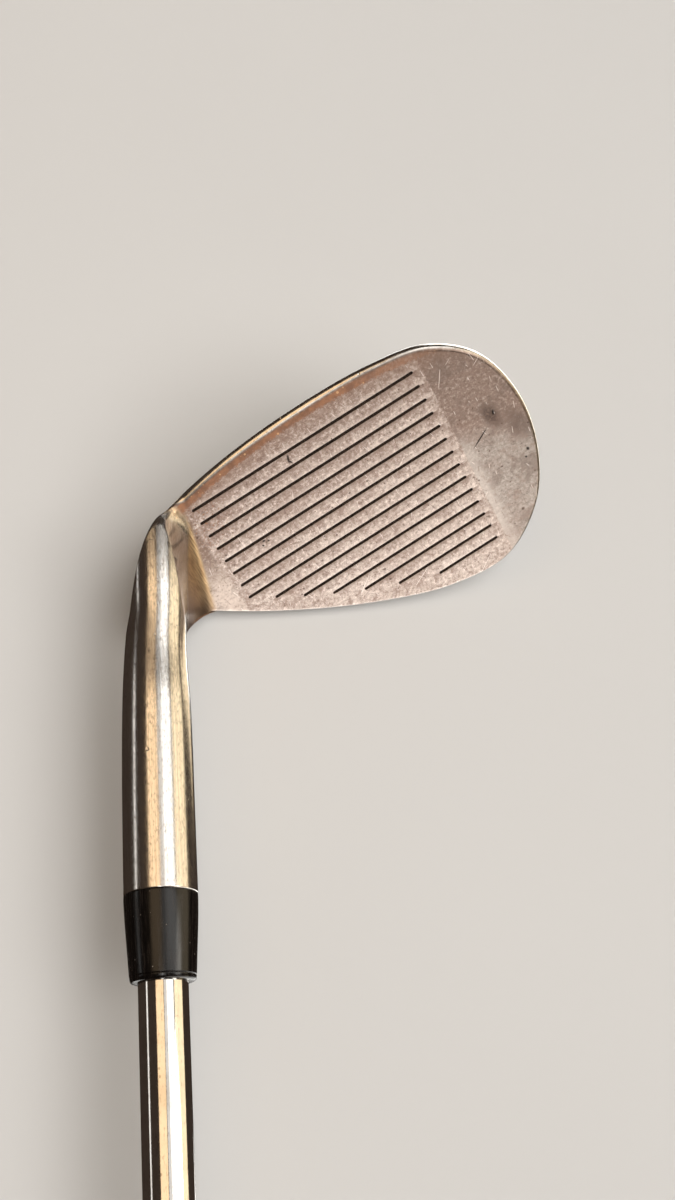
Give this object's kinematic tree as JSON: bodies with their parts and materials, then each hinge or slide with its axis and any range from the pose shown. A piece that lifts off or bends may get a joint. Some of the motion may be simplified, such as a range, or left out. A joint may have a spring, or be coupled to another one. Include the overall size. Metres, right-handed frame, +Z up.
{
  "type": "iron golf club",
  "caption": "Right-handed high-loft iron golf club: grooved steel blade head with hosel, black ferrule, stepped steel shaft and rubber grip with end cap, lying face up.",
  "frame": {"origin": "on the floor, under the middle of the club's bounding box as it lies face up", "axes": "+Z up; +Y along the shaft from the grip to the head; +X towards the toe of the head"},
  "size_m": [0.1004, 0.9316, 0.0476],
  "materials": {
    "head_steel": "worn satin steel: blasted between the score lines, polished toe, heel and hosel, brown tarnish along the leading edge",
    "epoxy": "cured amber adhesive",
    "brass": "as turned",
    "cork": "raw cork",
    "ferrule_plastic": "polished black, faint turning lines",
    "shaft_chrome": "bright plated steel",
    "band_foil": "printed foil, plain stripes, no lettering",
    "tape_paper": "matt creped tape",
    "grip_rubber": "moulded black rubber, fine tread",
    "cap_rubber": "hard moulded black rubber, satin"
  },
  "bodies": {
    "root": {"iron_head": "head_steel", "hosel_epoxy": "epoxy", "tip_weight": "brass", "tip_plug": "cork", "ferrule": "ferrule_plastic", "shaft": "shaft_chrome", "shaft_band": "band_foil", "grip_tape": "tape_paper", "grip": "grip_rubber", "grip_cap": "cap_rubber"}
  },
  "joints": []
}
